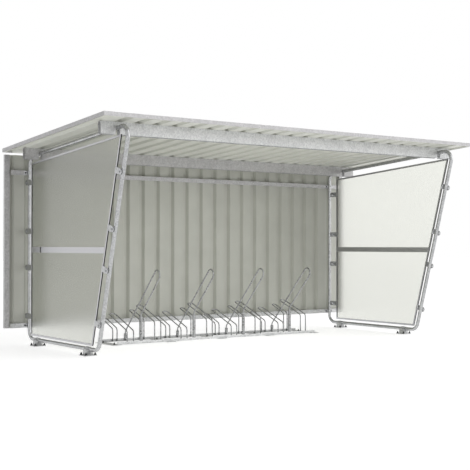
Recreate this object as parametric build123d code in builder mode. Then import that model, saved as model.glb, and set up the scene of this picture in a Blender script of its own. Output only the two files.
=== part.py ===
"""Bike shelter: two bent-tube side hoops with frosted panels, a profiled sheet roof and rear wall,
and a row of wheel holders. Millimetres, +Z up, origin on the floor under the middle of the roof.
The open front faces -Y, the closed wall is at +Y."""

import os
from math import atan2, cos, hypot, radians, sin, tan

from build123d import *

os.makedirs("parts", exist_ok=True)

# Side hoops: one bent tube each, sizes along the tube's centre line.
hoop_spacing = 4350.0
tube_d = 42.4
tube_wall = 2.6
bend_r = 100.0
hoop_base_z = 65.0
base_depth = 1610.0
top_depth = 2208.0
rear_height = 2058.0
front_height = 2214.0

# Feet under the hoops.
plate_size = 132.0
plate_t = 8.0
plate_corner_r = 8.0
anchor_spacing = 102.0
anchor_hole_r = 6.5
foot_inset = 220.0
stub_width = 78.0
stub_length = 72.0
stub_wall = 4.0
stub_top_drop = 3.0
foot_strap_t = 5.0
foot_strap_length = 56.0

# Side panels, held just outside the hoops by lugs.
sheet_t = 6.0
edging_width = 20.0
edging_t = 12.0
groove_depth = 12.0
panel_offset = 28.0
panel_rear_inset = 110.0
panel_front_inset = 80.0
panel_bottom_inset = 42.0
panel_top_inset = 83.0
mid_rail_z = 1040.0
mid_rail_height = 60.0
mid_rail_t = 16.0
mid_rail_slot = 8.0
mid_rail_slot_depth = 4.0
lug_steps = (-725.0, -195.0, 200.0, 735.0)
lug_height = 60.0
lug_t = 5.0
lug_grip = 17.0
boss_r = 13.0

# Purlins, notched over the hoops.
purlin_height = 120.0
purlin_width = 50.0
purlin_t = 3.0
purlin_rise = 34.0
purlin_overhang = 180.0
front_purlin_inset = 258.0
rear_purlin_inset = 245.0

# Profiled sheet, the same for the roof and the wall.
rib_pitch = 207.0
rib_count = 24
rib_depth = 35.0
rib_crest = 40.0
rib_flank = 24.0
sheet_metal_t = 0.75
edge_flat = 20.0
ribs_per_sheet = 5

# Roof edges.
front_overhang = 24.0
rear_overhang = 100.0
trim_t = 1.5
trim_flange = 60.0
trim_drop = 1.5
verge_gap = 8.0

# Rear wall.
wall_bottom = 183.0
wall_top_gap = 30.0
wall_rail_height = 50.0
wall_rail_depth = 28.5
wall_rail_t = 2.0
upper_rail_z = 1885.0
wall_trim_width = 54.0
rail_end_gap = 2.0
strap_t = 4.0
strap_height = 30.0
strap_ear = 34.0

# Wheel holders on two base rails.
slot_pitch = 350.0
slot_pairs = 4
rack_shift_x = -50.0
rack_front_inset = 650.0
rack_depth = 350.0
rack_rail_size = 30.0
rack_rail_t = 4.0
rod_d = 14.0
rod_bend_r = 40.0
front_loop_width = 80.0
front_loop_run = 430.0
front_loop_rise = 165.0
rear_loop_width = 56.0
rear_loop_run = 250.0
rear_loop_rise = 100.0
low_bend_z = 150.0
high_bend_z = 235.0
lean_rod_d = 16.0
lean_shift = 135.0
lean_width = 110.0
lean_bend_z = 325.0
lean_run = 607.0
lean_angle = 46.7
sleeve_d = 38.0
sleeve_wall = 3.0
sleeve_ring_t = 4.0
sleeve_bend_gap = 24.0
rack_plate_width = 110.0
rack_plate_margin = 15.0
rack_plate_t = 6.0

seat_gap = 0.3

# Worked out from the sizes above.
tube_r = tube_d / 2
rise = front_height - rear_height
slope = atan2(rise, top_depth)
top_length = hypot(top_depth, rise)
rake = atan2(top_depth - base_depth, front_height - hoop_base_z)
hoop_x = hoop_spacing / 2
sheet_w = tube_r + purlin_rise
crest_w = sheet_w + rib_depth + sheet_metal_t
roof_front_u = top_length + front_overhang
roof_rear_u = -rear_overhang
trim_low_w = sheet_w - trim_drop
trim_top_w = crest_w + trim_t
front_reach = roof_front_u * cos(slope) - trim_low_w * sin(slope)
rear_reach = -roof_rear_u * cos(slope) + (trim_top_w + trim_t) * sin(slope)
leg_y = (front_reach - rear_reach) / 2
rib_half_span = rib_pitch * (rib_count - 1) / 2
sheet_half_width = rib_half_span + rib_crest / 2 + rib_flank + edge_flat
wall_y = leg_y + tube_r + seat_gap + wall_rail_depth
groove_from = panel_offset - edging_t / 2 - seat_gap
groove_to = panel_offset + edging_t / 2 + seat_gap


def slope_plane(u, w=0.0):
    """Plane across the roof at u uphill from the rear leg and w above the hoops' centre line."""
    y = leg_y - u * cos(slope) + w * sin(slope)
    z = rear_height + u * sin(slope) + w * cos(slope)
    return Plane(origin=(0, y, z), x_dir=(1, 0, 0), z_dir=(0, -cos(slope), sin(slope)))


def side_plane(x):
    """Plane of a side hoop seen from +X: local x runs to the rear, local y up."""
    return Plane(origin=(x, 0, 0), x_dir=(0, 1, 0), z_dir=(1, 0, 0))


def front_leg_y(z):
    """Y of the front leg's centre line at height z."""
    return leg_y - base_depth - (z - hoop_base_z) * tan(rake)


def roof_under_z(y):
    """Height of the roof sheet's flat underside over y."""
    return rear_height + (leg_y - y) * tan(slope) + sheet_w / cos(slope)


def profile_points(first, last):
    """Centre line of the profiled sheet from x = first to x = last, with its ribs upward."""
    points = [(first, height_at(first))]
    for index in range(rib_count):
        middle = -rib_half_span + index * rib_pitch
        half_crest = rib_crest / 2
        foot = half_crest + rib_flank
        corners = ((-foot, 0), (-half_crest, rib_depth), (half_crest, rib_depth), (foot, 0))
        for shift, height in corners:
            if first < middle + shift < last:
                points.append((middle + shift, height))
    points.append((last, height_at(last)))
    return points


def height_at(x):
    """Height of the sheet at x, which is on a rib's crest or on a flat."""
    index = round((x + rib_half_span) / rib_pitch)
    middle = -rib_half_span + index * rib_pitch
    on_crest = 0 <= index < rib_count and abs(x - middle) <= rib_crest / 2
    return rib_depth if on_crest else 0.0


def sheet_edges():
    """X of each sheet's edges: the sheets meet on the crest of every fifth rib."""
    seams = range(ribs_per_sheet, rib_count - 1, ribs_per_sheet)
    inner = [-rib_half_span + index * rib_pitch for index in seams]
    edges = [-sheet_half_width, *inner, sheet_half_width]
    return list(zip(edges[:-1], edges[1:]))


def save(part, label):
    part.label = label
    export_step(part, f"parts/{label}.step")


# Side hoops, feet and panels.
hoop_corners = [
    (leg_y, hoop_base_z),
    (leg_y, rear_height),
    (leg_y - top_depth, front_height),
    (leg_y - base_depth, hoop_base_z),
]
foot_ys = {"rear": leg_y - foot_inset, "front": leg_y - base_depth + foot_inset}


def panel_corners():
    """Outline of the edging: rear bottom, rear top, front top, front bottom."""
    low = hoop_base_z + panel_bottom_inset
    back = leg_y - panel_rear_inset
    top_back = rear_height + panel_rear_inset * tan(slope) - panel_top_inset
    front_low = front_leg_y(low) + panel_front_inset
    gain = tan(slope) * (back - front_low)
    climb = (top_back + gain - low) / (1 - tan(slope) * tan(rake))
    front_top = (front_low - climb * tan(rake), low + climb)
    return [(back, low), (back, top_back), front_top, (front_low, low)]


for side, outward in (("left", -1), ("right", 1)):
    x = outward * hoop_x
    panel_x = x + outward * panel_offset
    with BuildPart() as hoop:
        with BuildLine(side_plane(x)) as path:
            outline = FilletPolyline(*hoop_corners, radius=bend_r, close=True)
        start = Plane(origin=outline @ 0, z_dir=outline % 0)
        with BuildSketch(start) as bore:
            Circle(tube_r)
            Circle(tube_r - tube_wall, mode=Mode.SUBTRACT)
        sweep(path=path.line)
    save(hoop.part, f"{side}_side_hoop")

    for end, foot_y in foot_ys.items():
        stub_top = hoop_base_z - stub_top_drop
        across_tube = Plane(origin=(x, foot_y, hoop_base_z), x_dir=(1, 0, 0), z_dir=(0, -1, 0))
        with BuildPart() as foot:
            with BuildSketch(Plane.XY):
                with Locations((x, foot_y)):
                    RectangleRounded(plate_size, plate_size, plate_corner_r)
                    with GridLocations(anchor_spacing, anchor_spacing, 2, 2):
                        Circle(anchor_hole_r, mode=Mode.SUBTRACT)
            extrude(amount=plate_t)
            with BuildSketch(Plane.XY.offset(plate_t)):
                with Locations((x, foot_y)):
                    Rectangle(stub_width, stub_length)
                    Rectangle(
                        stub_width - 2 * stub_wall, stub_length - 2 * stub_wall, mode=Mode.SUBTRACT
                    )
            extrude(amount=stub_top - plate_t)
            with BuildSketch(across_tube):
                Circle(tube_r + seat_gap)
            extrude(amount=stub_length, both=True, mode=Mode.SUBTRACT)
            with BuildSketch(across_tube):
                Circle(tube_r + seat_gap + foot_strap_t)
                with Locations((0, foot_strap_t / 2 + seat_gap - stub_top_drop)):
                    Rectangle(stub_width, foot_strap_t)
                Circle(tube_r + seat_gap, mode=Mode.SUBTRACT)
                with Locations((0, seat_gap - stub_top_drop - stub_width / 2)):
                    Rectangle(2 * stub_width, stub_width, mode=Mode.SUBTRACT)
            extrude(amount=foot_strap_length / 2, both=True)
        save(foot.part, f"{side}_{end}_foot")

    corners = panel_corners()
    with BuildPart() as edging:
        with BuildSketch(side_plane(panel_x)):
            Polygon(*corners, align=None)
            offset(amount=-edging_width, kind=Kind.INTERSECTION, mode=Mode.SUBTRACT)
        extrude(amount=edging_t / 2, both=True)
        with BuildSketch(side_plane(panel_x)):
            Polygon(*corners, align=None)
            offset(amount=-(edging_width - groove_depth), kind=Kind.INTERSECTION, mode=Mode.REPLACE)
        extrude(amount=sheet_t / 2 + seat_gap, both=True, mode=Mode.SUBTRACT)
    save(edging.part, f"{side}_panel_edging")

    rail_low = mid_rail_z - mid_rail_height / 2
    rail_high = mid_rail_z + mid_rail_height / 2
    back = leg_y - panel_rear_inset - edging_width
    front_foot = front_leg_y(rail_low) + panel_front_inset + edging_width / cos(rake)
    front_head = front_leg_y(rail_high) + panel_front_inset + edging_width / cos(rake)
    with BuildPart() as mid_rail:
        with BuildSketch(side_plane(panel_x)):
            Polygon(
                (back, rail_low),
                (back, rail_high),
                (front_head, rail_high),
                (front_foot, rail_low),
                align=None,
            )
        extrude(amount=mid_rail_t / 2, both=True)
        for edge_z, way in ((rail_low, 1), (rail_high, -1)):
            with BuildSketch(side_plane(panel_x)):
                with Locations((leg_y - base_depth / 2, edge_z + way * groove_depth / 2)):
                    Rectangle(2 * top_depth, groove_depth)
            extrude(amount=sheet_t / 2 + seat_gap, both=True, mode=Mode.SUBTRACT)
        for face in (-1, 1):
            with BuildSketch(side_plane(panel_x + face * (mid_rail_t / 2 - mid_rail_slot_depth))):
                with Locations((leg_y - base_depth / 2, mid_rail_z)):
                    Rectangle(2 * top_depth, mid_rail_slot)
            extrude(amount=face * mid_rail_slot_depth, mode=Mode.SUBTRACT)
    save(mid_rail.part, f"{side}_mid_rail")

    for level, low, high in (
        ("lower", 0, rail_low + groove_depth - seat_gap),
        ("upper", rail_high - groove_depth + seat_gap, 2 * front_height),
    ):
        with BuildPart() as panel:
            with BuildSketch(side_plane(panel_x)):
                Polygon(*corners, align=None)
                reach = edging_width - groove_depth + seat_gap
                offset(amount=-reach, kind=Kind.INTERSECTION, mode=Mode.REPLACE)
                with Locations((leg_y - top_depth / 2, (low + high) / 2)):
                    Rectangle(2 * top_depth, high - low, mode=Mode.INTERSECT)
            extrude(amount=sheet_t / 2, both=True)
        save(panel.part, f"{side}_{level}_panel")

    with BuildPart() as clamps:
        for step in lug_steps:
            z = mid_rail_z + step
            for y, lean, way, reach in (
                (leg_y, 0.0, -1, panel_rear_inset),
                (front_leg_y(z), rake, 1, panel_front_inset * cos(rake)),
            ):
                grip = reach + lug_grip
                at_leg = Plane(
                    origin=(x, y, z),
                    x_dir=(0, way * cos(lean), way * sin(lean)),
                    z_dir=(outward, 0, 0),
                )
                with BuildSketch(at_leg):
                    Circle(boss_r)
                extrude(amount=groove_to)
                with BuildSketch(at_leg.offset(groove_from - lug_t)):
                    with Locations(((reach - seat_gap - lug_t + grip) / 2, 0)):
                        Rectangle(grip - reach + seat_gap + lug_t, lug_height)
                extrude(amount=groove_to - groove_from + lug_t)
                with BuildSketch(at_leg.offset(groove_from)):
                    with Locations((reach - seat_gap + grip, 0)):
                        Rectangle(2 * grip, 2 * lug_height)
                extrude(amount=groove_to - groove_from, mode=Mode.SUBTRACT)
                with BuildSketch(at_leg.offset(groove_to)):
                    Circle(lug_height / 2)
                    with Locations((grip / 2, 0)):
                        Rectangle(grip, lug_height)
                extrude(amount=lug_t)
                with BuildSketch(Plane(origin=(x, y, z), z_dir=(0, -sin(lean), cos(lean)))):
                    Circle(tube_r + seat_gap)
                extrude(amount=lug_height, both=True, mode=Mode.SUBTRACT)
    save(clamps.part, f"{side}_panel_clamps")

# Purlins: inverted channels, notched over both hoops.
for name, u in (
    ("rear_purlin", rear_purlin_inset),
    ("front_purlin", top_length - front_purlin_inset),
):
    half_length = hoop_x + purlin_overhang
    across = slope_plane(u)
    section = Plane(origin=across.origin, x_dir=across.z_dir, z_dir=(-1, 0, 0))
    with BuildPart() as purlin:
        with BuildSketch(section):
            with Locations((0, sheet_w - purlin_height / 2)):
                Rectangle(purlin_width, purlin_height)
            with Locations((0, sheet_w - purlin_height / 2 - purlin_t / 2)):
                Rectangle(purlin_width - 2 * purlin_t, purlin_height - purlin_t, mode=Mode.SUBTRACT)
        extrude(amount=half_length, both=True)
        with BuildSketch(slope_plane(u - purlin_width)):
            with Locations((-hoop_x, 0), (hoop_x, 0)):
                Circle(tube_r + seat_gap)
            with Locations((-hoop_x, -purlin_height / 2), (hoop_x, -purlin_height / 2)):
                Rectangle(2 * (tube_r + seat_gap), purlin_height)
        extrude(amount=2 * purlin_width, mode=Mode.SUBTRACT)
    save(purlin.part, name)

# Roof sheets and their edge trims.
roof_length = roof_front_u - roof_rear_u - 2 * trim_t
for number, (first, last) in enumerate(sheet_edges(), 1):
    with BuildPart() as roof_sheet:
        with BuildSketch(slope_plane(roof_rear_u + trim_t, sheet_w)):
            with BuildLine():
                Polyline(*profile_points(first, last))
                offset(amount=sheet_metal_t, side=Side.LEFT, kind=Kind.INTERSECTION)
            make_face()
        extrude(amount=roof_length)
    save(roof_sheet.part, f"roof_sheet_{number}")

trim_half_width = sheet_half_width + verge_gap + trim_t
for name, face_u, flange_u in (
    ("front_fascia", roof_front_u, roof_front_u - trim_flange),
    ("rear_roof_trim", roof_rear_u, roof_rear_u + trim_flange),
):
    way = 1 if face_u > flange_u else -1
    section = Plane(
        origin=slope_plane(0).origin, x_dir=slope_plane(0).z_dir, z_dir=(-1, 0, 0)
    )
    with BuildPart() as edge_trim:
        with BuildSketch(section):
            with BuildLine():
                Polyline(
                    (face_u, trim_low_w),
                    (face_u, trim_top_w),
                    (flange_u, trim_top_w),
                    (flange_u, crest_w),
                    (face_u - way * trim_t, crest_w),
                    (face_u - way * trim_t, trim_low_w),
                    close=True,
                )
            make_face()
        extrude(amount=trim_half_width - trim_t, both=True)
    save(edge_trim.part, name)

for side, way in (("left", -1), ("right", 1)):
    outer = way * trim_half_width
    inner = way * (trim_half_width - trim_t)
    flange = way * (rib_half_span - rib_crest / 2)
    with BuildPart() as verge:
        with BuildSketch(slope_plane(roof_rear_u)):
            with BuildLine():
                Polyline(
                    (outer, trim_low_w),
                    (outer, trim_top_w + trim_t),
                    (flange, trim_top_w + trim_t),
                    (flange, trim_top_w),
                    (inner, trim_top_w),
                    (inner, trim_low_w),
                    close=True,
                )
            make_face()
        extrude(amount=roof_front_u - roof_rear_u)
    save(verge.part, f"{side}_verge_trim")

# Rear wall: sheets, end trims, rails and the straps that hold the rails to the rear legs.
wall_top = roof_under_z(wall_y + rib_depth) - wall_top_gap
for number, (first, last) in enumerate(sheet_edges(), 1):
    with BuildPart() as wall_sheet:
        with BuildSketch(Plane((0, wall_y, wall_bottom))):
            with BuildLine():
                Polyline(*profile_points(first, last))
                offset(amount=sheet_metal_t, side=Side.LEFT, kind=Kind.INTERSECTION)
            make_face()
        extrude(amount=wall_top - wall_bottom)
    save(wall_sheet.part, f"wall_sheet_{number}")

trim_inner_x = sheet_half_width - wall_trim_width
for side, way in (("left", -1), ("right", 1)):
    edge = way * sheet_half_width
    with BuildPart() as wall_trim:
        with BuildSketch(Plane.XY.offset(wall_bottom)):
            with BuildLine():
                Polyline(
                    (way * trim_inner_x, wall_y),
                    (way * trim_inner_x, wall_y - trim_t),
                    (edge + way * trim_t, wall_y - trim_t),
                    (edge + way * trim_t, wall_y + rib_depth),
                    (edge, wall_y + rib_depth),
                    (edge, wall_y),
                    close=True,
                )
            make_face()
        extrude(amount=wall_top - wall_bottom)
    save(wall_trim.part, f"{side}_wall_trim")

rail_front_y = wall_y - wall_rail_depth
rail_half_length = trim_inner_x - rail_end_gap
lower_rail_z = wall_bottom + wall_rail_height / 2
for level, z in (("lower", lower_rail_z), ("upper", upper_rail_z)):
    with BuildPart() as wall_rail:
        with BuildSketch(Plane.YZ):
            with Locations((rail_front_y + wall_rail_depth / 2, z)):
                Rectangle(wall_rail_depth, wall_rail_height)
            with Locations((rail_front_y + wall_rail_t + wall_rail_depth / 2, z)):
                inside = wall_rail_height - 2 * wall_rail_t
                Rectangle(wall_rail_depth, inside, mode=Mode.SUBTRACT)
        extrude(amount=rail_half_length, both=True)
    save(wall_rail.part, f"{level}_wall_rail")

strap_r = tube_r + seat_gap + strap_t
with BuildPart() as straps:
    for z in (lower_rail_z, upper_rail_z):
        with BuildSketch(Plane.XY.offset(z - strap_height / 2)):
            with Locations((-hoop_x, leg_y), (hoop_x, leg_y)):
                Circle(strap_r)
                with Locations((0, (tube_r + seat_gap) / 2)):
                    Rectangle(2 * strap_r, tube_r + seat_gap)
                with Locations((0, tube_r + seat_gap - strap_t / 2)):
                    Rectangle(2 * (strap_r + strap_ear), strap_t)
                Circle(tube_r + seat_gap, mode=Mode.SUBTRACT)
                with Locations((0, tube_r + seat_gap)):
                    Rectangle(2 * (tube_r + seat_gap), 2 * (tube_r + seat_gap), mode=Mode.SUBTRACT)
            with Locations((0, rail_front_y + 2 * strap_r)):
                Rectangle(2 * hoop_spacing, 4 * strap_r, mode=Mode.SUBTRACT)
        extrude(amount=strap_height)
save(straps.part, "wall_rail_straps")

# Wheel holders: base rails on floor plates, wheel loops in low and high pairs, leaning hoops.
front_rail_y = leg_y - rack_front_inset
rear_rail_y = front_rail_y + rack_depth
rail_half = rack_rail_size / 2
rod_foot_z = rack_plate_t + rack_rail_t
pair_pitch = 2 * slot_pitch
rack_half_length = slot_pairs * slot_pitch
pair_starts = [rack_shift_x - rack_half_length + pair_pitch * pair for pair in range(slot_pairs)]
slot_levels = (("low", slot_pitch / 2, low_bend_z), ("high", slot_pitch * 3 / 2, high_bend_z))

with BuildPart() as rack_rails:
    for y, way in ((front_rail_y, 1), (rear_rail_y, -1)):
        with BuildSketch(Plane.YZ.offset(rack_shift_x)):
            with BuildLine():
                Polyline(
                    (y - way * rail_half, rack_plate_t),
                    (y + way * rail_half, rack_plate_t),
                    (y + way * rail_half, rod_foot_z),
                    (y - way * (rail_half - rack_rail_t), rod_foot_z),
                    (y - way * (rail_half - rack_rail_t), rack_plate_t + rack_rail_size),
                    (y - way * rail_half, rack_plate_t + rack_rail_size),
                    close=True,
                )
            make_face()
        extrude(amount=rack_half_length, both=True)
save(rack_rails.part, "rack_rails")

with BuildPart() as floor_plates:
    with BuildSketch():
        with Locations((rack_shift_x, (front_rail_y + rear_rail_y) / 2)):
            with GridLocations(pair_pitch, 1, slot_pairs + 1, 1):
                Rectangle(rack_plate_width, rack_depth + rack_rail_size + 2 * rack_plate_margin)
    extrude(amount=rack_plate_t)
save(floor_plates.part, "rack_floor_plates")


def bent_rod(points, radii, diameter):
    """Round bar swept along straight runs joined by bends."""
    with BuildPart(mode=Mode.PRIVATE) as rod:
        with BuildLine() as path:
            run = FilletPolyline(*points, radius=radii)
        with BuildSketch(Plane(origin=run @ 0, z_dir=run % 0)):
            Circle(diameter / 2)
        sweep(path=path.line)
    return rod.part


def wheel_loop(x, y, bend_z, width, run, rise):
    """One wire loop: up from its rail, then back to a closed end."""
    half = width / 2
    points = [
        (x - half, y, rod_foot_z),
        (x - half, y, bend_z),
        (x - half, y + run, bend_z + rise),
        (x + half, y + run, bend_z + rise),
        (x + half, y, bend_z),
        (x + half, y, rod_foot_z),
    ]
    end_r = half - 1
    return bent_rod(points, [rod_bend_r, end_r, end_r, rod_bend_r], rod_d)


lean = radians(lean_angle)
top_front = (front_rail_y - lean_run * cos(lean), lean_bend_z + lean_run * sin(lean))
top_rear = (top_front[0] + lean_width * sin(lean), top_front[1] + lean_width * cos(lean))
rear_bend_z = top_rear[1] - (rear_rail_y - top_rear[0]) * tan(lean)


def leaning_hoop(x):
    """One hoop that holds a bicycle frame: both legs lean out to the front and meet at the top."""
    points = [
        (x, front_rail_y, rod_foot_z),
        (x, front_rail_y, lean_bend_z),
        (x, *top_front),
        (x, *top_rear),
        (x, rear_rail_y, rear_bend_z),
        (x, rear_rail_y, rod_foot_z),
    ]
    end_r = lean_width / 2 - 1
    return bent_rod(points, [rod_bend_r, end_r, end_r, rod_bend_r], lean_rod_d)


loop_kinds = (
    ("front", front_rail_y, front_loop_width, front_loop_run, front_loop_rise),
    ("rear", rear_rail_y, rear_loop_width, rear_loop_run, rear_loop_rise),
)
for level, shift, bend_z in slot_levels:
    for end, y, width, run, rise in loop_kinds:
        with BuildPart() as loops:
            for start in pair_starts:
                add(wheel_loop(start + shift, y, bend_z, width, run, rise))
        save(loops.part, f"rack_{level}_{end}_loops")

with BuildPart() as hoops:
    for start in pair_starts:
        add(leaning_hoop(start + slot_pitch / 2 + lean_shift))
save(hoops.part, "rack_leaning_hoops")

hoop_legs = (
    (front_rail_y, lean_bend_z - sleeve_bend_gap),
    (rear_rail_y, rear_bend_z - sleeve_bend_gap),
)
sleeve_foot = rack_plate_t + rack_rail_size + seat_gap
with BuildPart() as sleeves:
    for start in pair_starts:
        leg_x = start + slot_pitch / 2 + lean_shift
        for y, top in hoop_legs:
            for low, high, bore_r in (
                (sleeve_foot, sleeve_foot + sleeve_ring_t, lean_rod_d / 2 + seat_gap),
                (sleeve_foot + sleeve_ring_t, top - sleeve_ring_t, sleeve_d / 2 - sleeve_wall),
                (top - sleeve_ring_t, top, lean_rod_d / 2 + seat_gap),
            ):
                with BuildSketch(Plane.XY.offset(low)):
                    with Locations((leg_x, y)):
                        Circle(sleeve_d / 2)
                        Circle(bore_r, mode=Mode.SUBTRACT)
                extrude(amount=high - low)
save(sleeves.part, "rack_hoop_sleeves")
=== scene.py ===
"""Finishes, fasteners and studio for a bike shelter. Metres, +Z up, the open front towards -Y."""

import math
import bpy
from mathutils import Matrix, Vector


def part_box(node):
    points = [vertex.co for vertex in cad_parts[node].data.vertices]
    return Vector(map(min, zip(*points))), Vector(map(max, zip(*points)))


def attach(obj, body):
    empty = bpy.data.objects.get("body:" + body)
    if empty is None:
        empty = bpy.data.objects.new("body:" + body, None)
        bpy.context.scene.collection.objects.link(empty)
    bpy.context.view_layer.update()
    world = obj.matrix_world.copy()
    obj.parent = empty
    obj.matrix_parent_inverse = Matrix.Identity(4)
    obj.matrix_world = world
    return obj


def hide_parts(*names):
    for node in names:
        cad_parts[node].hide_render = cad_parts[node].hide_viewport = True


bl_info = {
    "name": "Bike Shelter Finish",
    "version": (1, 0, 0),
    "blender": (4, 5, 0),
    "location": "3D View > Sidebar > Bike Shelter",
    "description": "Finishes, fasteners and studio for a bike shelter",
    "category": "Object",
}

import bmesh
import bpy
from mathutils import Matrix, Vector

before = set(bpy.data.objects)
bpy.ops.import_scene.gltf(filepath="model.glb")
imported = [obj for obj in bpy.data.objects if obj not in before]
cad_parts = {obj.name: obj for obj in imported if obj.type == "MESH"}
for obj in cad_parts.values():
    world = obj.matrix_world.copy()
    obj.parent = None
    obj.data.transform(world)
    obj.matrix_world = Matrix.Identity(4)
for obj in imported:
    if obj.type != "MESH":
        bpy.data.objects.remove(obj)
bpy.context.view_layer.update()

SIDES = ("left", "right")
UP = (0, 0, 1)
WELD_DISTANCE = 1e-5
CREASE_ANGLE = math.radians(28)
HEXAGON = 6
ROUND = 20
STUD_SIDES = 14
SCREW_SIDES = 16
SHEETS_PER_FACE = 5
RIB_COUNT = 24

# Sections in the bright finish: their brighter tone is painted light, for the light that falls on them,
# against the rear purlin and upper wall rail in the duller trim tone.
PAINTED_LIGHT_SECTION_NODES = ["front_purlin", "lower_wall_rail", "rack_rails", "rack_floor_plates"]
# The trims, and the rear purlin and upper wall rail, whose duller trim tone is painted shade.
TRIM_AND_SHADED_SECTION_NODES = [
    "rear_purlin",
    "upper_wall_rail",
    *[f"{side}_{name}" for side in SIDES for name in ("verge_trim", "wall_trim")],
    "front_fascia",
    "rear_roof_trim",
]
ROUND_NODES = [
    *[f"{side}_{name}" for side in SIDES for name in ("side_hoop", "panel_clamps")],
    "wall_rail_straps",
]
ROD_NODES = [
    *[f"rack_{level}_{end}_loops" for level in ("low", "high") for end in ("front", "rear")],
    "rack_leaning_hoops",
    "rack_hoop_sleeves",
]
FOOT_NODES = [f"{side}_{end}_foot" for side in SIDES for end in ("front", "rear")]
EDGING_NODES = [f"{side}_panel_edging" for side in SIDES]
SECTION_NODES = [f"{side}_mid_rail" for side in SIDES]
PANEL_NODES = [f"{side}_{level}_panel" for side in SIDES for level in ("lower", "upper")]


def linear(hex_colour, alpha=1.0):
    """An sRGB hex colour as linear RGBA."""
    channels = [int(hex_colour[i : i + 2], 16) / 255 for i in (1, 3, 5)]
    toned = [c / 12.92 if c <= 0.04045 else ((c + 0.055) / 1.055) ** 2.4 for c in channels]
    return (*toned, alpha)


def add_node(tree, kind, values=None, links=None, **settings):
    """Adds a node with its settings, its sockets' values and the links into it."""
    node = tree.nodes.new(kind)
    for name, value in settings.items():
        setattr(node, name, value)
    for socket, value in (values or {}).items():
        node.inputs[socket].default_value = value
    for socket, source in (links or {}).items():
        tree.links.new(source, node.inputs[socket])
    return node


def new_material(name):
    """An empty node material with its shader joined to the output."""
    material = bpy.data.materials.new(name)
    material.use_nodes = True
    tree = material.node_tree
    tree.nodes.clear()
    shader = add_node(tree, "ShaderNodeBsdfPrincipled")
    add_node(tree, "ShaderNodeOutputMaterial", links={"Surface": shader.outputs["BSDF"]})
    return material, tree, shader


def plain_material(name, tone, values):
    """A material of one tone, with the rest of its shader's values by socket."""
    material, _, shader = new_material(name)
    shader.inputs["Base Color"].default_value = linear(tone)
    for socket, value in values.items():
        shader.inputs[socket].default_value = value
    return material


def two_tones(tree, shader, pattern, dark, light, dark_until, light_from):
    """Colours a surface between two tones by a pattern from 0 to 1."""
    ramp = add_node(tree, "ShaderNodeValToRGB", links={"Fac": pattern})
    ends = ((dark_until, dark), (light_from, light))
    for element, (position, tone) in zip(ramp.color_ramp.elements, ends):
        element.position = position
        element.color = linear(tone)
    tree.links.new(ramp.outputs["Color"], shader.inputs["Base Color"])


def bump(tree, shader, height, strength, distance):
    """Lets a height pattern tilt the shading of a surface."""
    relief = add_node(
        tree,
        "ShaderNodeBump",
        values={"Strength": strength, "Distance": distance},
        links={"Height": height},
    )
    tree.links.new(relief.outputs["Normal"], shader.inputs["Normal"])


def zinc_skin(name, dark, light, metallic, smoothest=0.34, roughest=0.54):
    """Hot-dip zinc: a dull skin whose crystals show as a faint patchwork over slow clouds of grey."""
    material, tree, shader = new_material(name)
    shader.inputs["Metallic"].default_value = metallic
    place = add_node(tree, "ShaderNodeTexCoord").outputs["Object"]
    # Zinc crystals are about 8 mm across, drawn at 14 mm so that they still show from a few metres away.
    crystals = add_node(
        tree,
        "ShaderNodeTexVoronoi",
        values={"Scale": 1 / 0.014, "Randomness": 1.0},
        links={"Vector": place},
    )
    clouds = add_node(
        tree,
        "ShaderNodeTexNoise",
        values={"Scale": 9.0, "Detail": 4.0, "Roughness": 0.6},
        links={"Vector": place},
    )
    grey = add_node(tree, "ShaderNodeRGBToBW", links={"Color": crystals.outputs["Color"]})
    patch = add_node(
        tree,
        "ShaderNodeMix",
        values={"Factor": 0.55},
        links={"A": grey.outputs["Val"], "B": clouds.outputs["Fac"]},
    )
    two_tones(tree, shader, patch.outputs["Result"], dark, light, 0.3, 0.68)
    gloss = add_node(
        tree,
        "ShaderNodeMapRange",
        values={"From Min": 0.2, "From Max": 0.8, "To Min": smoothest, "To Max": roughest},
        links={"Value": patch.outputs["Result"]},
    )
    tree.links.new(gloss.outputs["Result"], shader.inputs["Roughness"])
    return material


def galvanised_steel(tones):
    """Hot-dip galvanised tube and bar, with a clean sheen."""
    return zinc_skin("Hot-dip galvanised steel", tones.zinc_dark, tones.zinc_light, 0.8, 0.14, 0.26)


def galvanised_rods_painted_shade(tones):
    """Hot-dip galvanised wire of the wheel holders, darker than the tubes; the darker tone is painted shade,
    for the shade they stand in under the roof.
    """
    return zinc_skin("Hot-dip galvanised rods with painted shade", tones.rod_dark, tones.rod_light, 0.7, 0.22, 0.38)


def galvanised_sections_painted_light(tones):
    """Hot-dip galvanised plate and channel, in a tone brighter than the tubes' that is partly painted light,
    for the light on the front purlin, lower wall rail, rack rails, floor plates and feet.
    """
    return zinc_skin("Hot-dip galvanised sections with painted light", tones.section_dark, tones.section_light, 0.3)


def galvanised_trim_and_painted_shade(tones):
    """Galvanised sheet, folded or rolled, more matt than the dipped tubes. On the rear purlin and upper wall
    rail its duller tone is painted shade, against the brighter front purlin and lower wall rail.
    """
    return zinc_skin("Galvanised sheet trim and painted shade", tones.trim_dark, tones.trim_light, 0.25)


def coil_coating(name, dark, light):
    """Coil-coated steel sheet: an even satin polyester paint, with the slight waver of rolled sheet."""
    material, tree, shader = new_material(name)
    shader.inputs["Roughness"].default_value = 0.42
    place = add_node(tree, "ShaderNodeTexCoord").outputs["Object"]
    # Rolling leaves the flats out of true by a fraction of a millimetre over some 0.3 m.
    waver = add_node(
        tree,
        "ShaderNodeTexNoise",
        values={"Scale": 3.5, "Detail": 2.0, "Roughness": 0.5},
        links={"Vector": place},
    )
    two_tones(tree, shader, waver.outputs["Fac"], dark, light, 0.3, 0.7)
    bump(tree, shader, waver.outputs["Fac"], 0.15, 0.002)
    return material


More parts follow.
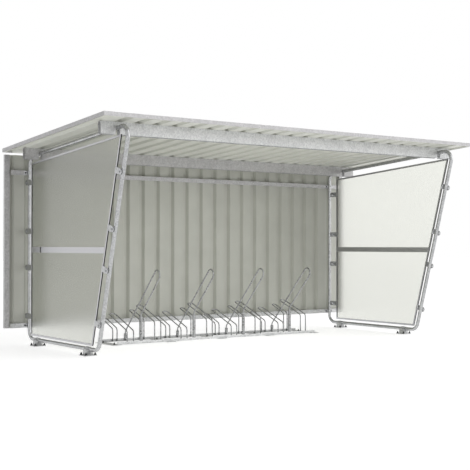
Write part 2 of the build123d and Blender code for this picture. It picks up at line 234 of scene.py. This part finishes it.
def wall_coating(tones):
    """The wall sheets' grey-white paint."""
    return coil_coating("Coil-coated wall sheet", tones.paint_dark, tones.paint_light)


def roof_coating(tones):
    """The roof sheets' paint, a shade lighter than the wall's."""
    return coil_coating("Coil-coated roof sheet", tones.roof_dark, tones.roof_light)


def frosted_sheet(tones):
    """Frosted acrylic sheet: its ground surface scatters the light, so only soft tones show through."""
    values = {"Roughness": 0.24, "IOR": 1.49, "Specular IOR Level": 0.05, "Transmission Weight": 0.98}
    return plain_material("Frosted acrylic sheet", tones.acrylic, values)


def aluminium_section(tones):
    """Extruded aluminium, mill finish: bright, with drawing lines too fine to show."""
    return plain_material("Mill-finish aluminium", tones.aluminium, {"Metallic": 1.0, "Roughness": 0.38})


def black_bolt_steel(tones):
    """Black-oxide bolt steel: a thin dark conversion layer with an oily sheen."""
    return plain_material("Black-oxide steel", tones.bolt_black, {"Metallic": 0.2, "Roughness": 0.5})


def plated_bolt_steel(tones):
    """Bright zinc-plated fastener steel."""
    return plain_material("Zinc-plated steel", tones.bolt_zinc, {"Metallic": 1.0, "Roughness": 0.3})


def sealing_rubber(tones):
    """EPDM rubber of sealing washers, also drawn on the edging's narrow edges: matt black."""
    return plain_material("EPDM rubber", tones.rubber, {"Roughness": 0.75})


finishes_made = {}


def finish(context, make):
    """A finish, made the first time that a piece asks for it."""
    if make not in finishes_made:
        finishes_made[make] = make(context.scene.bikeshelter_finishes)
    return finishes_made[make]


def dress(obj, material):
    """Gives an object one material and no other."""
    obj.data.materials.clear()
    obj.data.materials.append(material)


def smooth_copy(node, material):
    """A welded copy of a CAD node that is shaded smooth round its curves and sharp at its edges."""
    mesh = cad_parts[node].data.copy()
    shape = bmesh.new()
    shape.from_mesh(mesh)
    bmesh.ops.remove_doubles(shape, verts=shape.verts, dist=WELD_DISTANCE)
    shape.to_mesh(mesh)
    shape.free()
    mesh.shade_smooth()
    mesh.set_sharp_from_angle(angle=CREASE_ANGLE)
    copy = bpy.data.objects.new(f"{node}_smooth", mesh)
    bpy.context.scene.collection.objects.link(copy)
    dress(copy, material)
    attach(copy, "root")
    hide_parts(node)
    return copy


def islands(node):
    """Lowest and highest corner of each separate solid of a CAD node."""
    shape = bmesh.new()
    shape.from_mesh(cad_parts[node].data)
    bmesh.ops.remove_doubles(shape, verts=shape.verts, dist=WELD_DISTANCE)
    left = set(shape.verts)
    boxes = []
    while left:
        stack = [left.pop()]
        points = []
        while stack:
            vert = stack.pop()
            points.append(vert.co.copy())
            for edge in vert.link_edges:
                other = edge.other_vert(vert)
                if other in left:
                    left.discard(other)
                    stack.append(other)
        low = Vector([min(p[axis] for p in points) for axis in range(3)])
        high = Vector([max(p[axis] for p in points) for axis in range(3)])
        boxes.append((low, high))
    shape.free()
    return sorted(boxes, key=lambda box: tuple(box[0]))


def turned_prism(shape, radius, low, high, sides, top_radius=None):
    """Adds a closed prism or cone along Z to a bmesh."""
    depth = high - low
    bmesh.ops.create_cone(
        shape,
        cap_ends=True,
        segments=sides,
        radius1=radius,
        radius2=radius if top_radius is None else top_radius,
        depth=depth,
        matrix=Matrix.Translation((0, 0, low + depth / 2)),
    )


def fastener_shape(name, layers):
    """A hidden pattern object made of stacked prisms, each (radius, low, high, sides, top radius)."""
    shape = bmesh.new()
    for radius, low, high, sides, top_radius in layers:
        turned_prism(shape, radius, low, high, sides, top_radius)
    mesh = bpy.data.meshes.new(name)
    shape.to_mesh(mesh)
    shape.free()
    return bpy.data.objects.new(name, mesh)


def hex_bolt(name, across, height, washer_radius, washer_thickness):
    """Hexagon head with a chamfered top, on a round washer, standing on z = 0."""
    corner = across / 2 / math.cos(math.radians(30))
    shoulder = washer_thickness + height * 0.8
    crown = corner * 0.82
    return fastener_shape(
        name,
        [
            (washer_radius, 0, washer_thickness, ROUND, None),
            (corner, washer_thickness, shoulder, HEXAGON, None),
            (corner, shoulder, washer_thickness + height, HEXAGON, crown),
        ],
    )


def anchor_nut(name, across, height, washer_radius, stud_radius, stud_height):
    """Hexagon nut on a washer, with the threaded stud's end standing out of it."""
    corner = across / 2 / math.cos(math.radians(30))
    washer = height * 0.2
    top = washer + height
    crown = corner * 0.92
    tip = stud_radius * 0.85
    return fastener_shape(
        name,
        [
            (washer_radius, 0, washer, ROUND, None),
            (corner, washer, top, HEXAGON, crown),
            (stud_radius, top, top + stud_height, STUD_SIDES, tip),
        ],
    )


def fasteners_tree(name):
    """Node tree that sets a fastener on every point, turned to the point's own facing."""
    tree = bpy.data.node_groups.new(name, "GeometryNodeTree")
    face = tree.interface
    face.new_socket("Geometry", in_out="INPUT", socket_type="NodeSocketGeometry")
    face.new_socket("Fastener", in_out="INPUT", socket_type="NodeSocketObject")
    face.new_socket("Material", in_out="INPUT", socket_type="NodeSocketMaterial")
    face.new_socket("Seed", in_out="INPUT", socket_type="NodeSocketInt")
    face.new_socket("Geometry", in_out="OUTPUT", socket_type="NodeSocketGeometry")
    entry = add_node(tree, "NodeGroupInput")
    facing = add_node(
        tree,
        "GeometryNodeInputNamedAttribute",
        values={"Name": "facing"},
        data_type="FLOAT_VECTOR",
    )
    turned = add_node(
        tree,
        "FunctionNodeAlignRotationToVector",
        links={"Vector": facing.outputs["Attribute"]},
        axis="Z",
    )
    spin = add_node(
        tree,
        "FunctionNodeRandomValue",
        values={2: 0.0, 3: math.tau},
        links={"Seed": entry.outputs["Seed"]},
        data_type="FLOAT",
    )
    spun = add_node(
        tree,
        "FunctionNodeAxisAngleToRotation",
        values={"Axis": (0, 0, 1)},
        links={"Angle": spin.outputs[1]},
    )
    rotation = add_node(
        tree,
        "FunctionNodeRotateRotation",
        links={"Rotation": turned.outputs["Rotation"], "Rotate By": spun.outputs["Rotation"]},
        rotation_space="LOCAL",
    )
    pattern = add_node(tree, "GeometryNodeObjectInfo", links={"Object": entry.outputs["Fastener"]})
    placed = add_node(
        tree,
        "GeometryNodeInstanceOnPoints",
        links={
            "Points": entry.outputs["Geometry"],
            "Instance": pattern.outputs["Geometry"],
            "Rotation": rotation.outputs["Rotation"],
        },
    )
    real = add_node(tree, "GeometryNodeRealizeInstances", links={"Geometry": placed.outputs["Instances"]})
    painted = add_node(
        tree,
        "GeometryNodeSetMaterial",
        links={"Geometry": real.outputs["Geometry"], "Material": entry.outputs["Material"]},
    )
    add_node(tree, "NodeGroupOutput", links={"Geometry": painted.outputs["Geometry"]})
    return tree


def set_fasteners(name, places, pattern, material, seed=7):
    """Makes one plain mesh of fasteners at (point, facing) places, which rides on the shelter."""
    mesh = bpy.data.meshes.new(f"{name}_points")
    mesh.from_pydata([tuple(point) for point, _ in places], [], [])
    facing = mesh.attributes.new("facing", "FLOAT_VECTOR", "POINT")
    for index, (_, direction) in enumerate(places):
        facing.data[index].vector = direction
    holder = bpy.data.objects.new(f"{name}_holder", mesh)
    bpy.context.scene.collection.objects.link(holder)
    bpy.context.scene.collection.objects.link(pattern)
    tree = fasteners_tree(f"{name} on points")
    modifier = holder.modifiers.new("Fasteners", "NODES")
    modifier.node_group = tree
    sockets = {item.name: item.identifier for item in tree.interface.items_tree if item.in_out == "INPUT"}
    modifier[sockets["Fastener"]] = pattern
    modifier[sockets["Material"]] = material
    modifier[sockets["Seed"]] = seed
    graph = bpy.context.evaluated_depsgraph_get()
    made = bpy.data.meshes.new_from_object(holder.evaluated_get(graph))
    holder.modifiers.remove(modifier)
    bpy.data.objects.remove(holder)
    bpy.data.objects.remove(pattern)
    piece = bpy.data.objects.new(name, made)
    bpy.context.scene.collection.objects.link(piece)
    made.shade_smooth()
    made.set_sharp_from_angle(angle=CREASE_ANGLE)
    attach(piece, "root")
    return piece


def hex_tone(name, description, default):
    """An sRGB hex colour that a user may change."""
    return bpy.props.StringProperty(name=name, description=description, default=default)


class ShelterFinishes(bpy.types.PropertyGroup):
    zinc_light: hex_tone("Zinc light", "Light tone of the tubes' zinc", "#C6C7C8")
    zinc_dark: hex_tone("Zinc dark", "Dark tone of the tubes' zinc", "#A8A9AA")
    # The section tones are partly painted light: brighter for the lit front purlin, lower wall rail, rack
    # rails, floor plates and feet.
    section_light: hex_tone("Section light", "Light tone of channel and plate", "#E6E7E7")
    section_dark: hex_tone("Section dark", "Dark tone of channel and plate", "#C6C7C8")
    # The rod tones are darker than the tubes' as painted shade.
    rod_light: hex_tone("Rod light", "Light tone of the wheel holders' rods", "#B2B3B4")
    rod_dark: hex_tone("Rod dark", "Dark tone of the wheel holders' rods", "#8C8D8E")
    # On the rear purlin and upper wall rail these trim tones are painted shade.
    trim_light: hex_tone("Trim light", "Light tone of folded and rolled sheet", "#D4D3D4")
    trim_dark: hex_tone("Trim dark", "Dark tone of folded and rolled sheet", "#BBBABB")
    paint_light: hex_tone("Paint light", "Light tone of the sheet's paint", "#D2D3CA")
    paint_dark: hex_tone("Paint dark", "Dark tone of the sheet's paint", "#CBCCC3")
    roof_light: hex_tone("Roof light", "Light tone of the roof's paint", "#E2E3DA")
    roof_dark: hex_tone("Roof dark", "Dark tone of the roof's paint", "#DADBD2")
    acrylic: hex_tone("Acrylic", "Tint of the frosted panels", "#E8E9E3")
    aluminium: hex_tone("Aluminium", "Tone of the panels' sections", "#C4C4C7")
    bolt_black: hex_tone("Black bolts", "Tone of the black bolts", "#1B1B1C")
    bolt_zinc: hex_tone("Plated bolts", "Tone of the plated bolts", "#A6A7A9")
    rubber: hex_tone("Rubber", "Tone of the sealing rubber", "#1E1E1E")


def size(name, description, default):
    """A length in metres that a user may change."""
    return bpy.props.FloatProperty(
        name=name,
        description=description,
        default=default,
        min=0.0,
        unit="LENGTH",
    )


def amount(name, description, default):
    """A strength or power that a user may change."""
    return bpy.props.FloatProperty(name=name, description=description, default=default, min=0.0)


class ShelterFasteners(bpy.types.PropertyGroup):
    anchor_across: size("Anchor nut", "Width of a foot's anchor nut across its flats", 0.022)
    anchor_height: size("Anchor nut height", "Height of a foot's anchor nut", 0.012)
    anchor_inset: size("Anchor inset", "From a plate's edges to its anchors", 0.015)
    anchor_stud: size("Anchor stud", "How far the stud stands out of its nut", 0.012)
    anchor_stud_radius: size("Anchor stud radius", "Radius of a foot's M12 stud", 0.006)
    anchor_washer: size("Anchor washer", "Radius of the washer under an anchor nut", 0.0144)
    base_plate: size("Base plate", "Thickness of a foot's plate", 0.008)
    foot_strap: size("Foot strap", "Thickness of the strap over the tube", 0.005)
    strap_bolt: size("Strap bolt", "Width of the bolts in a foot's strap", 0.011)
    strap_bolt_inset: size("Strap bolt inset", "From a strap's end to its bolts", 0.0063)
    strap_bolt_spacing: size("Strap bolt spacing", "Between the two bolts of one ear", 0.032)
    lug_bolt: size("Lug bolt", "Width of the bolts through the panels' lugs", 0.015)
    lug_round: size("Lug end", "Radius of a lug's round end", 0.030)
    rail_screw: size("Rail screw", "Width of the screws in a mid rail", 0.030)
    rail_screw_inset: size("Rail screw inset", "From a panel's rear edge to those screws", 0.245)
    rail_screw_spacing: size("Rail screw spacing", "Between the two screws of a mid rail", 0.032)
    wall_bolt: size("Wall bolt", "Width of the bolts that hold the wall's rails", 0.015)
    wall_strap: size("Wall strap", "Thickness of the straps round the rear legs", 0.004)
    wall_strap_ear: size("Wall strap ear", "Width of an ear of those straps", 0.034)
    sheet_screw: size("Sheet screw", "Width of a sheet's hexagon screw", 0.010)
    rib_pitch: size("Rib pitch", "From one rib of the sheet to the next", 0.207)
    sheet_metal: size("Sheet metal", "Thickness of the profiled sheet", 0.00075)
    purlin_height: size("Purlin height", "Height of a purlin square to the roof", 0.120)
    rack_anchor: size("Rack anchor", "Width of the nuts that hold the wheel holders", 0.019)
    rack_anchor_inset: size("Rack anchor inset", "From a base rail to those nuts", 0.030)
    rod_radius: size("Rod", "Radius of the wheel holders' rods", 0.007)
    weld_leg: size("Weld leg", "Height of the weld round a rod's foot", 0.005)
    roof_slope: bpy.props.FloatProperty(
        name="Roof slope",
        description="Fall of the roof towards the wall",
        default=math.atan2(0.156, 2.208),
        subtype="ANGLE",
    )


class ShelterStudio(bpy.types.PropertyGroup):
    camera_place: bpy.props.FloatVectorProperty(
        name="Camera place",
        description="Where the camera stands",
        default=(-6.831, -9.311, 1.084),
        subtype="TRANSLATION",
        unit="LENGTH",
    )
    camera_turn: bpy.props.FloatVectorProperty(
        name="Camera turn",
        description="The camera's tilt, roll and heading",
        default=(math.radians(90.617), math.radians(-0.065), math.radians(-35.634)),
        subtype="EULER",
    )
    lens: amount("Lens", "Focal length in mm on a 36 mm sensor", 77.575)
    sky: amount("Sky", "Strength of the even light all round", 0.3)
    key: amount("Key", "Strength of the soft key lamp", 1.35)
    key_from: bpy.props.FloatVectorProperty(
        name="Key from",
        description="Where the key lamp's light comes from",
        default=(1.2, -1.0, 0.5),
        subtype="DIRECTION",
    )
    key_softness: bpy.props.FloatProperty(
        name="Key softness",
        description="How wide the key lamp looks from the shelter",
        default=math.radians(80),
        subtype="ANGLE",
    )
    low_fill: amount("Low fill", "Power of the wide lamp that lights from the floor", 270.0)
    low_fill_width: size("Low fill width", "Width of that lamp, along the shelter", 14.0)
    low_fill_depth: size("Low fill depth", "Depth of that lamp, from front to rear", 10.0)
    low_fill_height: size("Low fill height", "Height of that lamp over the floor", 0.002)
    backlight: amount("Backlight", "Strength of the white seen through the panels", 1.2)
    floor_glow: amount("Floor glow", "How much whiter the floor is seen than lit", 0.64)
    floor_size: size("Floor", "Width of the floor", 120.0)


class BIKESHELTER_OT_finish_steel(bpy.types.Operator):
    """Galvanised steel on the tubes, trims, purlins, rails and rack"""

    bl_idname = "bikeshelter.finish_steel"
    bl_label = "Galvanised steel"

    def execute(self, context):
        sections = finish(context, galvanised_sections_painted_light)
        # Painted light: the front purlin, lower wall rail and rack base take the brighter section tone for
        # the light that falls on them.
        for node in PAINTED_LIGHT_SECTION_NODES:
            dress(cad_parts[node], sections)
        # The feet take the brighter section tone too, as painted light against the shade they stand in.
        for node in FOOT_NODES:
            smooth_copy(node, sections)
        trim = finish(context, galvanised_trim_and_painted_shade)
        # Painted shade: the rear purlin and upper wall rail take the duller trim tone for the shade they lie
        # in.
        for node in TRIM_AND_SHADED_SECTION_NODES:
            dress(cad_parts[node], trim)
        zinc = finish(context, galvanised_steel)
        for node in ROUND_NODES:
            smooth_copy(node, zinc)
        # Painted shade: the wheel holders' rods take a darker zinc tone for the shade they stand in.
        rods = finish(context, galvanised_rods_painted_shade)
        for node in ROD_NODES:
            smooth_copy(node, rods)
        return {"FINISHED"}


class BIKESHELTER_OT_finish_sheets(bpy.types.Operator):
    """Coil-coated paint on the roof and wall sheets"""

    bl_idname = "bikeshelter.finish_sheets"
    bl_label = "Profiled sheets"

    def execute(self, context):
        wall = finish(context, wall_coating)
        roof = finish(context, roof_coating)
        for number in range(1, SHEETS_PER_FACE + 1):
            dress(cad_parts[f"wall_sheet_{number}"], wall)
            dress(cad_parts[f"roof_sheet_{number}"], roof)
        return {"FINISHED"}


class BIKESHELTER_OT_finish_panels(bpy.types.Operator):
    """Frosted panels in their aluminium sections"""

    bl_idname = "bikeshelter.finish_panels"
    bl_label = "Side panels"

    def execute(self, context):
        frosted = finish(context, frosted_sheet)
        section = finish(context, aluminium_section)
        for node in PANEL_NODES:
            dress(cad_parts[node], frosted)
        for node in SECTION_NODES:
            dress(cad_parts[node], section)
        dark_edge = finish(context, sealing_rubber)
        for node in EDGING_NODES:
            edging = smooth_copy(node, section)
            edging.data.materials.append(dark_edge)
            for face in edging.data.polygons:
                # The edging's narrow edges, square to the panel, are drawn in the black rubber, as a dark
                # line round the panel.
                if abs(face.normal.x) < 0.5:
                    face.material_index = 1
        return {"FINISHED"}


def foot_places(fasteners):
    """Places of the anchors at a foot plate's corners, and of the bolts through its strap's ears."""
    anchors = []
    bolts = []
    for side in SIDES:
        for end in ("front", "rear"):
            for low, high in islands(f"{side}_{end}_foot"):
                middle = (low + high) / 2
                if low.z < fasteners.base_plate:
                    reach_x = (high.x - low.x) / 2 - fasteners.anchor_inset
                    reach_y = (high.y - low.y) / 2 - fasteners.anchor_inset
                    for x in (middle.x - reach_x, middle.x + reach_x):
                        for y in (middle.y - reach_y, middle.y + reach_y):
                            anchors.append(((x, y, fasteners.base_plate), UP))
                else:
                    inset = fasteners.strap_bolt_inset
                    aside = fasteners.strap_bolt_spacing / 2
                    for x in (low.x + inset, high.x - inset):
                        for y in (middle.y - aside, middle.y + aside):
                            bolts.append(((x, y, low.z + fasteners.foot_strap), UP))
    return anchors, bolts


class BIKESHELTER_OT_foot_fasteners(bpy.types.Operator):
    """Black anchor nuts on the feet and bolts in the straps over the tube"""

    bl_idname = "bikeshelter.foot_fasteners"
    bl_label = "Foot fasteners"

    def execute(self, context):
        fasteners = context.scene.bikeshelter_fasteners
        anchors, bolts = foot_places(fasteners)
        nut = anchor_nut(
            "foot_anchor_pattern",
            fasteners.anchor_across,
            fasteners.anchor_height,
            fasteners.anchor_washer,
            fasteners.anchor_stud_radius,
            fasteners.anchor_stud,
        )
        set_fasteners("foot_anchor_nuts", anchors, nut, finish(context, black_bolt_steel))
        bolt = hex_bolt(
            "foot_strap_bolt_pattern",
            fasteners.strap_bolt,
            height=0.006,
            washer_radius=0.0062,
            washer_thickness=0.001,
        )
        set_fasteners("foot_strap_bolts", bolts, bolt, finish(context, plated_bolt_steel))
        return {"FINISHED"}


class BIKESHELTER_OT_panel_fasteners(bpy.types.Operator):
    """Plated bolts through the panels' lugs and black screws in the mid rails"""

    bl_idname = "bikeshelter.panel_fasteners"
    bl_label = "Panel fasteners"

    def execute(self, context):
        fasteners = context.scene.bikeshelter_fasteners
        bolts = []
        screws = []
        for side, way in (("left", -1), ("right", 1)):
            for low, high in islands(f"{side}_panel_clamps"):
                y = high.y - fasteners.lug_round if low.y > 0 else low.y + fasteners.lug_round
                x = low.x if way < 0 else high.x
                bolts.append(((x, y, low.z + fasteners.lug_round), (way, 0, 0)))
            low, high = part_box(f"{side}_mid_rail")
            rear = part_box(f"{side}_panel_edging")[1].y
            x = low.x if way < 0 else high.x
            y = rear - fasteners.rail_screw_inset
            middle = (low.z + high.z) / 2
            aside = fasteners.rail_screw_spacing / 2
            for z in (middle - aside, middle + aside):
                screws.append(((x, y, z), (way, 0, 0)))
        across = fasteners.lug_bolt
        bolt = hex_bolt(
            "lug_bolt_pattern",
            across,
            height=across * 0.42,
            washer_radius=across * 0.62,
            washer_thickness=0.0025,
        )
        set_fasteners("panel_lug_bolts", bolts, bolt, finish(context, plated_bolt_steel))
        radius = fasteners.rail_screw / 2
        rim = 0.0015
        crown = 0.004
        screw = fastener_shape(
            "rail_screw_pattern",
            [(radius, 0, rim, SCREW_SIDES, None), (radius, rim, crown, SCREW_SIDES, radius * 0.6)],
        )
        black = finish(context, black_bolt_steel)
        set_fasteners("mid_rail_screws", screws, screw, black)
        return {"FINISHED"}


class BIKESHELTER_OT_sheet_fasteners(bpy.types.Operator):
    """Hexagon screws with rubber seals, one in each flat of the sheets over each purlin and wall rail"""

    bl_idname = "bikeshelter.sheet_fasteners"
    bl_label = "Sheet fasteners"

    def execute(self, context):
        fasteners = context.scene.bikeshelter_fasteners
        normal = Vector((0, math.sin(fasteners.roof_slope), math.cos(fasteners.roof_slope)))
        lifted = normal * (fasteners.purlin_height / 2 + fasteners.sheet_metal)
        wall_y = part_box("wall_sheet_1")[0].y + fasteners.sheet_metal
        places = []
        for flat in range(1, RIB_COUNT):
            x = (flat - RIB_COUNT / 2) * fasteners.rib_pitch
            for purlin in ("front_purlin", "rear_purlin"):
                low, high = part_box(purlin)
                middle = (low + high) / 2 + lifted
                places.append(((x, middle.y, middle.z), normal))
            for rail in ("upper_wall_rail", "lower_wall_rail"):
                low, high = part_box(rail)
                places.append(((x, wall_y, (low.z + high.z) / 2), (0, 1, 0)))
        across = fasteners.sheet_screw
        head = hex_bolt(
            "sheet_screw_pattern",
            across,
            height=across * 0.5,
            washer_radius=across * 0.7,
            washer_thickness=0.003,
        )
        set_fasteners("sheet_screws", places, head, finish(context, plated_bolt_steel))
        seal = fastener_shape("screw_seal_pattern", [(across * 0.8, 0, 0.002, ROUND, across * 0.74)])
        set_fasteners("sheet_screw_seals", places, seal, finish(context, sealing_rubber))
        return {"FINISHED"}


class BIKESHELTER_OT_wall_fasteners(bpy.types.Operator):
    """Bolts through the ears of the straps that hold the wall's rails to the rear legs"""

    bl_idname = "bikeshelter.wall_fasteners"
    bl_label = "Wall rail fasteners"

    def execute(self, context):
        fasteners = context.scene.bikeshelter_fasteners
        places = []
        for low, high in islands("wall_rail_straps"):
            y = high.y - fasteners.wall_strap
            z = (low.z + high.z) / 2
            for x in (low.x + fasteners.wall_strap_ear / 2, high.x - fasteners.wall_strap_ear / 2):
                places.append(((x, y, z), (0, -1, 0)))
        across = fasteners.wall_bolt
        bolt = hex_bolt(
            "wall_bolt_pattern",
            across,
            height=across * 0.42,
            washer_radius=across * 0.7,
            washer_thickness=0.0018,
        )
        set_fasteners("wall_strap_bolts", places, bolt, finish(context, black_bolt_steel))
        return {"FINISHED"}


class BIKESHELTER_OT_rack_fasteners(bpy.types.Operator):
    """Anchor nuts on the wheel holders' floor plates, and weld round each rod's foot"""

    bl_idname = "bikeshelter.rack_fasteners"
    bl_label = "Rack fasteners and welds"

    def execute(self, context):
        fasteners = context.scene.bikeshelter_fasteners
        rails = sorted(islands("rack_rails"), key=lambda box: box[0].y)
        inset = fasteners.rack_anchor_inset
        anchors = []
        for low, high in islands("rack_floor_plates"):
            x = (low.x + high.x) / 2
            for y in (rails[0][1].y + inset, rails[1][0].y - inset):
                anchors.append(((x, y, high.z), UP))
        across = fasteners.rack_anchor
        nut = anchor_nut(
            "rack_anchor_pattern",
            across,
            height=across * 0.5,
            washer_radius=across * 0.68,
            stud_radius=0.005,
            stud_height=0.012,
        )
        set_fasteners("rack_anchor_nuts", anchors, nut, finish(context, black_bolt_steel))
        rod = fasteners.rod_radius
        feet = []
        for level in ("low", "high"):
            for end in ("front", "rear"):
                for low, high in islands(f"rack_{level}_{end}_loops"):
                    for x in (low.x + rod, high.x - rod):
                        feet.append(((x, low.y + rod, low.z), UP))
        leg = fasteners.weld_leg
        toe = 0.0002
        fillet = fastener_shape("weld_pattern", [(rod + leg, 0, leg, ROUND, rod + toe)])
        # The welds share the rods' darker tone, which is painted shade.
        set_fasteners("rack_welds", feet, fillet, finish(context, galvanised_rods_painted_shade))
        return {"FINISHED"}


class BIKESHELTER_OT_stage(bpy.types.Operator):
    """Pale floor, soft light and the camera"""

    bl_idname = "bikeshelter.stage"
    bl_label = "Studio"

    def execute(self, context):
        studio = context.scene.bikeshelter_studio
        self.floor(studio)
        self.world(context.scene, studio)
        self.key_lamp(context.scene, studio)
        self.low_fill(context.scene, studio)
        self.camera(context.scene, studio)
        context.scene.view_settings.view_transform = "Standard"
        return {"FINISHED"}

    def floor(self, studio):
        half = studio.floor_size / 2
        mesh = bpy.data.meshes.new("floor")
        corners = [(-half, -half, 0), (half, -half, 0), (half, half, 0), (-half, half, 0)]
        mesh.from_pydata(corners, [], [(0, 1, 2, 3)])
        floor = bpy.data.objects.new("floor", mesh)
        bpy.context.scene.collection.objects.link(floor)
        material, tree, shader = new_material("White studio floor")
        shader.inputs["Base Color"].default_value = linear("#F0F0F0")
        shader.inputs["Roughness"].default_value = 0.9
        shader.inputs["Emission Color"].default_value = (1, 1, 1, 1)
        tree.links.new(self.seen_directly(tree, studio.floor_glow), shader.inputs["Emission Strength"])
        dress(floor, material)
        return floor

    def seen_directly(self, tree, strength):
        """A strength for what the camera sees, mirrored and let through too, and 0 for light on surfaces."""
        path = add_node(tree, "ShaderNodeLightPath")
        seen = path.outputs["Is Camera Ray"]
        for ray in ("Is Glossy Ray", "Is Transmission Ray"):
            both = add_node(tree, "ShaderNodeMath", operation="MAXIMUM")
            tree.links.new(seen, both.inputs[0])
            tree.links.new(path.outputs[ray], both.inputs[1])
            seen = both.outputs["Value"]
        unscattered = add_node(tree, "ShaderNodeMath", operation="LESS_THAN")
        tree.links.new(path.outputs["Diffuse Depth"], unscattered.inputs[0])
        unscattered.inputs[1].default_value = 0.5
        shown = add_node(tree, "ShaderNodeMath", operation="MULTIPLY")
        tree.links.new(seen, shown.inputs[0])
        tree.links.new(unscattered.outputs["Value"], shown.inputs[1])
        scaled = add_node(tree, "ShaderNodeMath", operation="MULTIPLY")
        tree.links.new(shown.outputs["Value"], scaled.inputs[0])
        scaled.inputs[1].default_value = strength
        return scaled.outputs["Value"]

    def world(self, scene, studio):
        world = bpy.data.worlds.new("Even sky")
        world.use_nodes = True
        tree = world.node_tree
        tree.nodes.clear()
        sky = add_node(tree, "ShaderNodeBackground", values={"Color": (1, 1, 1, 1), "Strength": studio.sky})
        white = add_node(tree, "ShaderNodeBackground", values={"Color": (1, 1, 1, 1)})
        # The panels are lit from behind by a little more than the white that shows beside them.
        through = add_node(tree, "ShaderNodeLightPath").outputs["Is Transmission Ray"]
        backlit = add_node(
            tree,
            "ShaderNodeMapRange",
            values={"To Min": 1.0, "To Max": studio.backlight},
            links={"Value": through},
        )
        tree.links.new(backlit.outputs["Result"], white.inputs["Strength"])
        mixed = add_node(tree, "ShaderNodeMixShader")
        tree.links.new(self.seen_directly(tree, 1.0), mixed.inputs[0])
        tree.links.new(sky.outputs["Background"], mixed.inputs[1])
        tree.links.new(white.outputs["Background"], mixed.inputs[2])
        add_node(tree, "ShaderNodeOutputWorld", links={"Surface": mixed.outputs["Shader"]})
        scene.world = world

    def key_lamp(self, scene, studio):
        data = bpy.data.lights.new("key", "SUN")
        data.energy = studio.key
        data.angle = studio.key_softness
        lamp = bpy.data.objects.new("key", data)
        lamp.rotation_euler = Vector(studio.key_from).to_track_quat("Z", "Y").to_euler()
        scene.collection.objects.link(lamp)

    def low_fill(self, scene, studio):
        """A wide lamp just above the floor, which stands for the light that a white floor throws up."""
        data = bpy.data.lights.new("low_fill", "AREA")
        data.shape = "RECTANGLE"
        data.size = studio.low_fill_width
        data.size_y = studio.low_fill_depth
        data.energy = studio.low_fill
        lamp = bpy.data.objects.new("low_fill", data)
        lamp.location = (0, 0, studio.low_fill_height)
        lamp.rotation_euler = (math.pi, 0, 0)
        lamp.visible_camera = False
        lamp.visible_glossy = False
        lamp.visible_transmission = False
        scene.collection.objects.link(lamp)

    def camera(self, scene, studio):
        data = bpy.data.cameras.new("camera")
        data.sensor_width = 36
        data.lens = studio.lens
        data.clip_end = 500
        camera = bpy.data.objects.new("camera", data)
        camera.location = studio.camera_place
        camera.rotation_euler = studio.camera_turn
        scene.collection.objects.link(camera)
        scene.camera = camera


OPERATORS = (
    BIKESHELTER_OT_finish_steel,
    BIKESHELTER_OT_finish_sheets,
    BIKESHELTER_OT_finish_panels,
    BIKESHELTER_OT_foot_fasteners,
    BIKESHELTER_OT_panel_fasteners,
    BIKESHELTER_OT_sheet_fasteners,
    BIKESHELTER_OT_wall_fasteners,
    BIKESHELTER_OT_rack_fasteners,
    BIKESHELTER_OT_stage,
)


class BIKESHELTER_PT_sidebar(bpy.types.Panel):
    """The shelter's finishes and studio"""

    bl_idname = "BIKESHELTER_PT_sidebar"
    bl_label = "Bike Shelter"
    bl_space_type = "VIEW_3D"
    bl_region_type = "UI"
    bl_category = "Bike Shelter"

    def draw(self, context):
        scene = context.scene
        for group in (scene.bikeshelter_finishes, scene.bikeshelter_fasteners, scene.bikeshelter_studio):
            box = self.layout.box()
            for name in group.__annotations__:
                box.prop(group, name)
        for operator in OPERATORS:
            self.layout.operator(operator.bl_idname)


CLASSES = (ShelterFinishes, ShelterFasteners, ShelterStudio, *OPERATORS, BIKESHELTER_PT_sidebar)


def register():
    for item in CLASSES:
        bpy.utils.register_class(item)
    bpy.types.Scene.bikeshelter_finishes = bpy.props.PointerProperty(type=ShelterFinishes)
    bpy.types.Scene.bikeshelter_fasteners = bpy.props.PointerProperty(type=ShelterFasteners)
    bpy.types.Scene.bikeshelter_studio = bpy.props.PointerProperty(type=ShelterStudio)


def unregister():
    del bpy.types.Scene.bikeshelter_studio
    del bpy.types.Scene.bikeshelter_fasteners
    del bpy.types.Scene.bikeshelter_finishes
    for item in reversed(CLASSES):
        bpy.utils.unregister_class(item)


def main():
    register()
    bpy.ops.bikeshelter.finish_steel()
    bpy.ops.bikeshelter.finish_sheets()
    bpy.ops.bikeshelter.finish_panels()
    bpy.ops.bikeshelter.foot_fasteners()
    bpy.ops.bikeshelter.panel_fasteners()
    bpy.ops.bikeshelter.sheet_fasteners()
    bpy.ops.bikeshelter.wall_fasteners()
    bpy.ops.bikeshelter.rack_fasteners()
    bpy.ops.bikeshelter.stage()


if __name__ == "__main__":
    main()
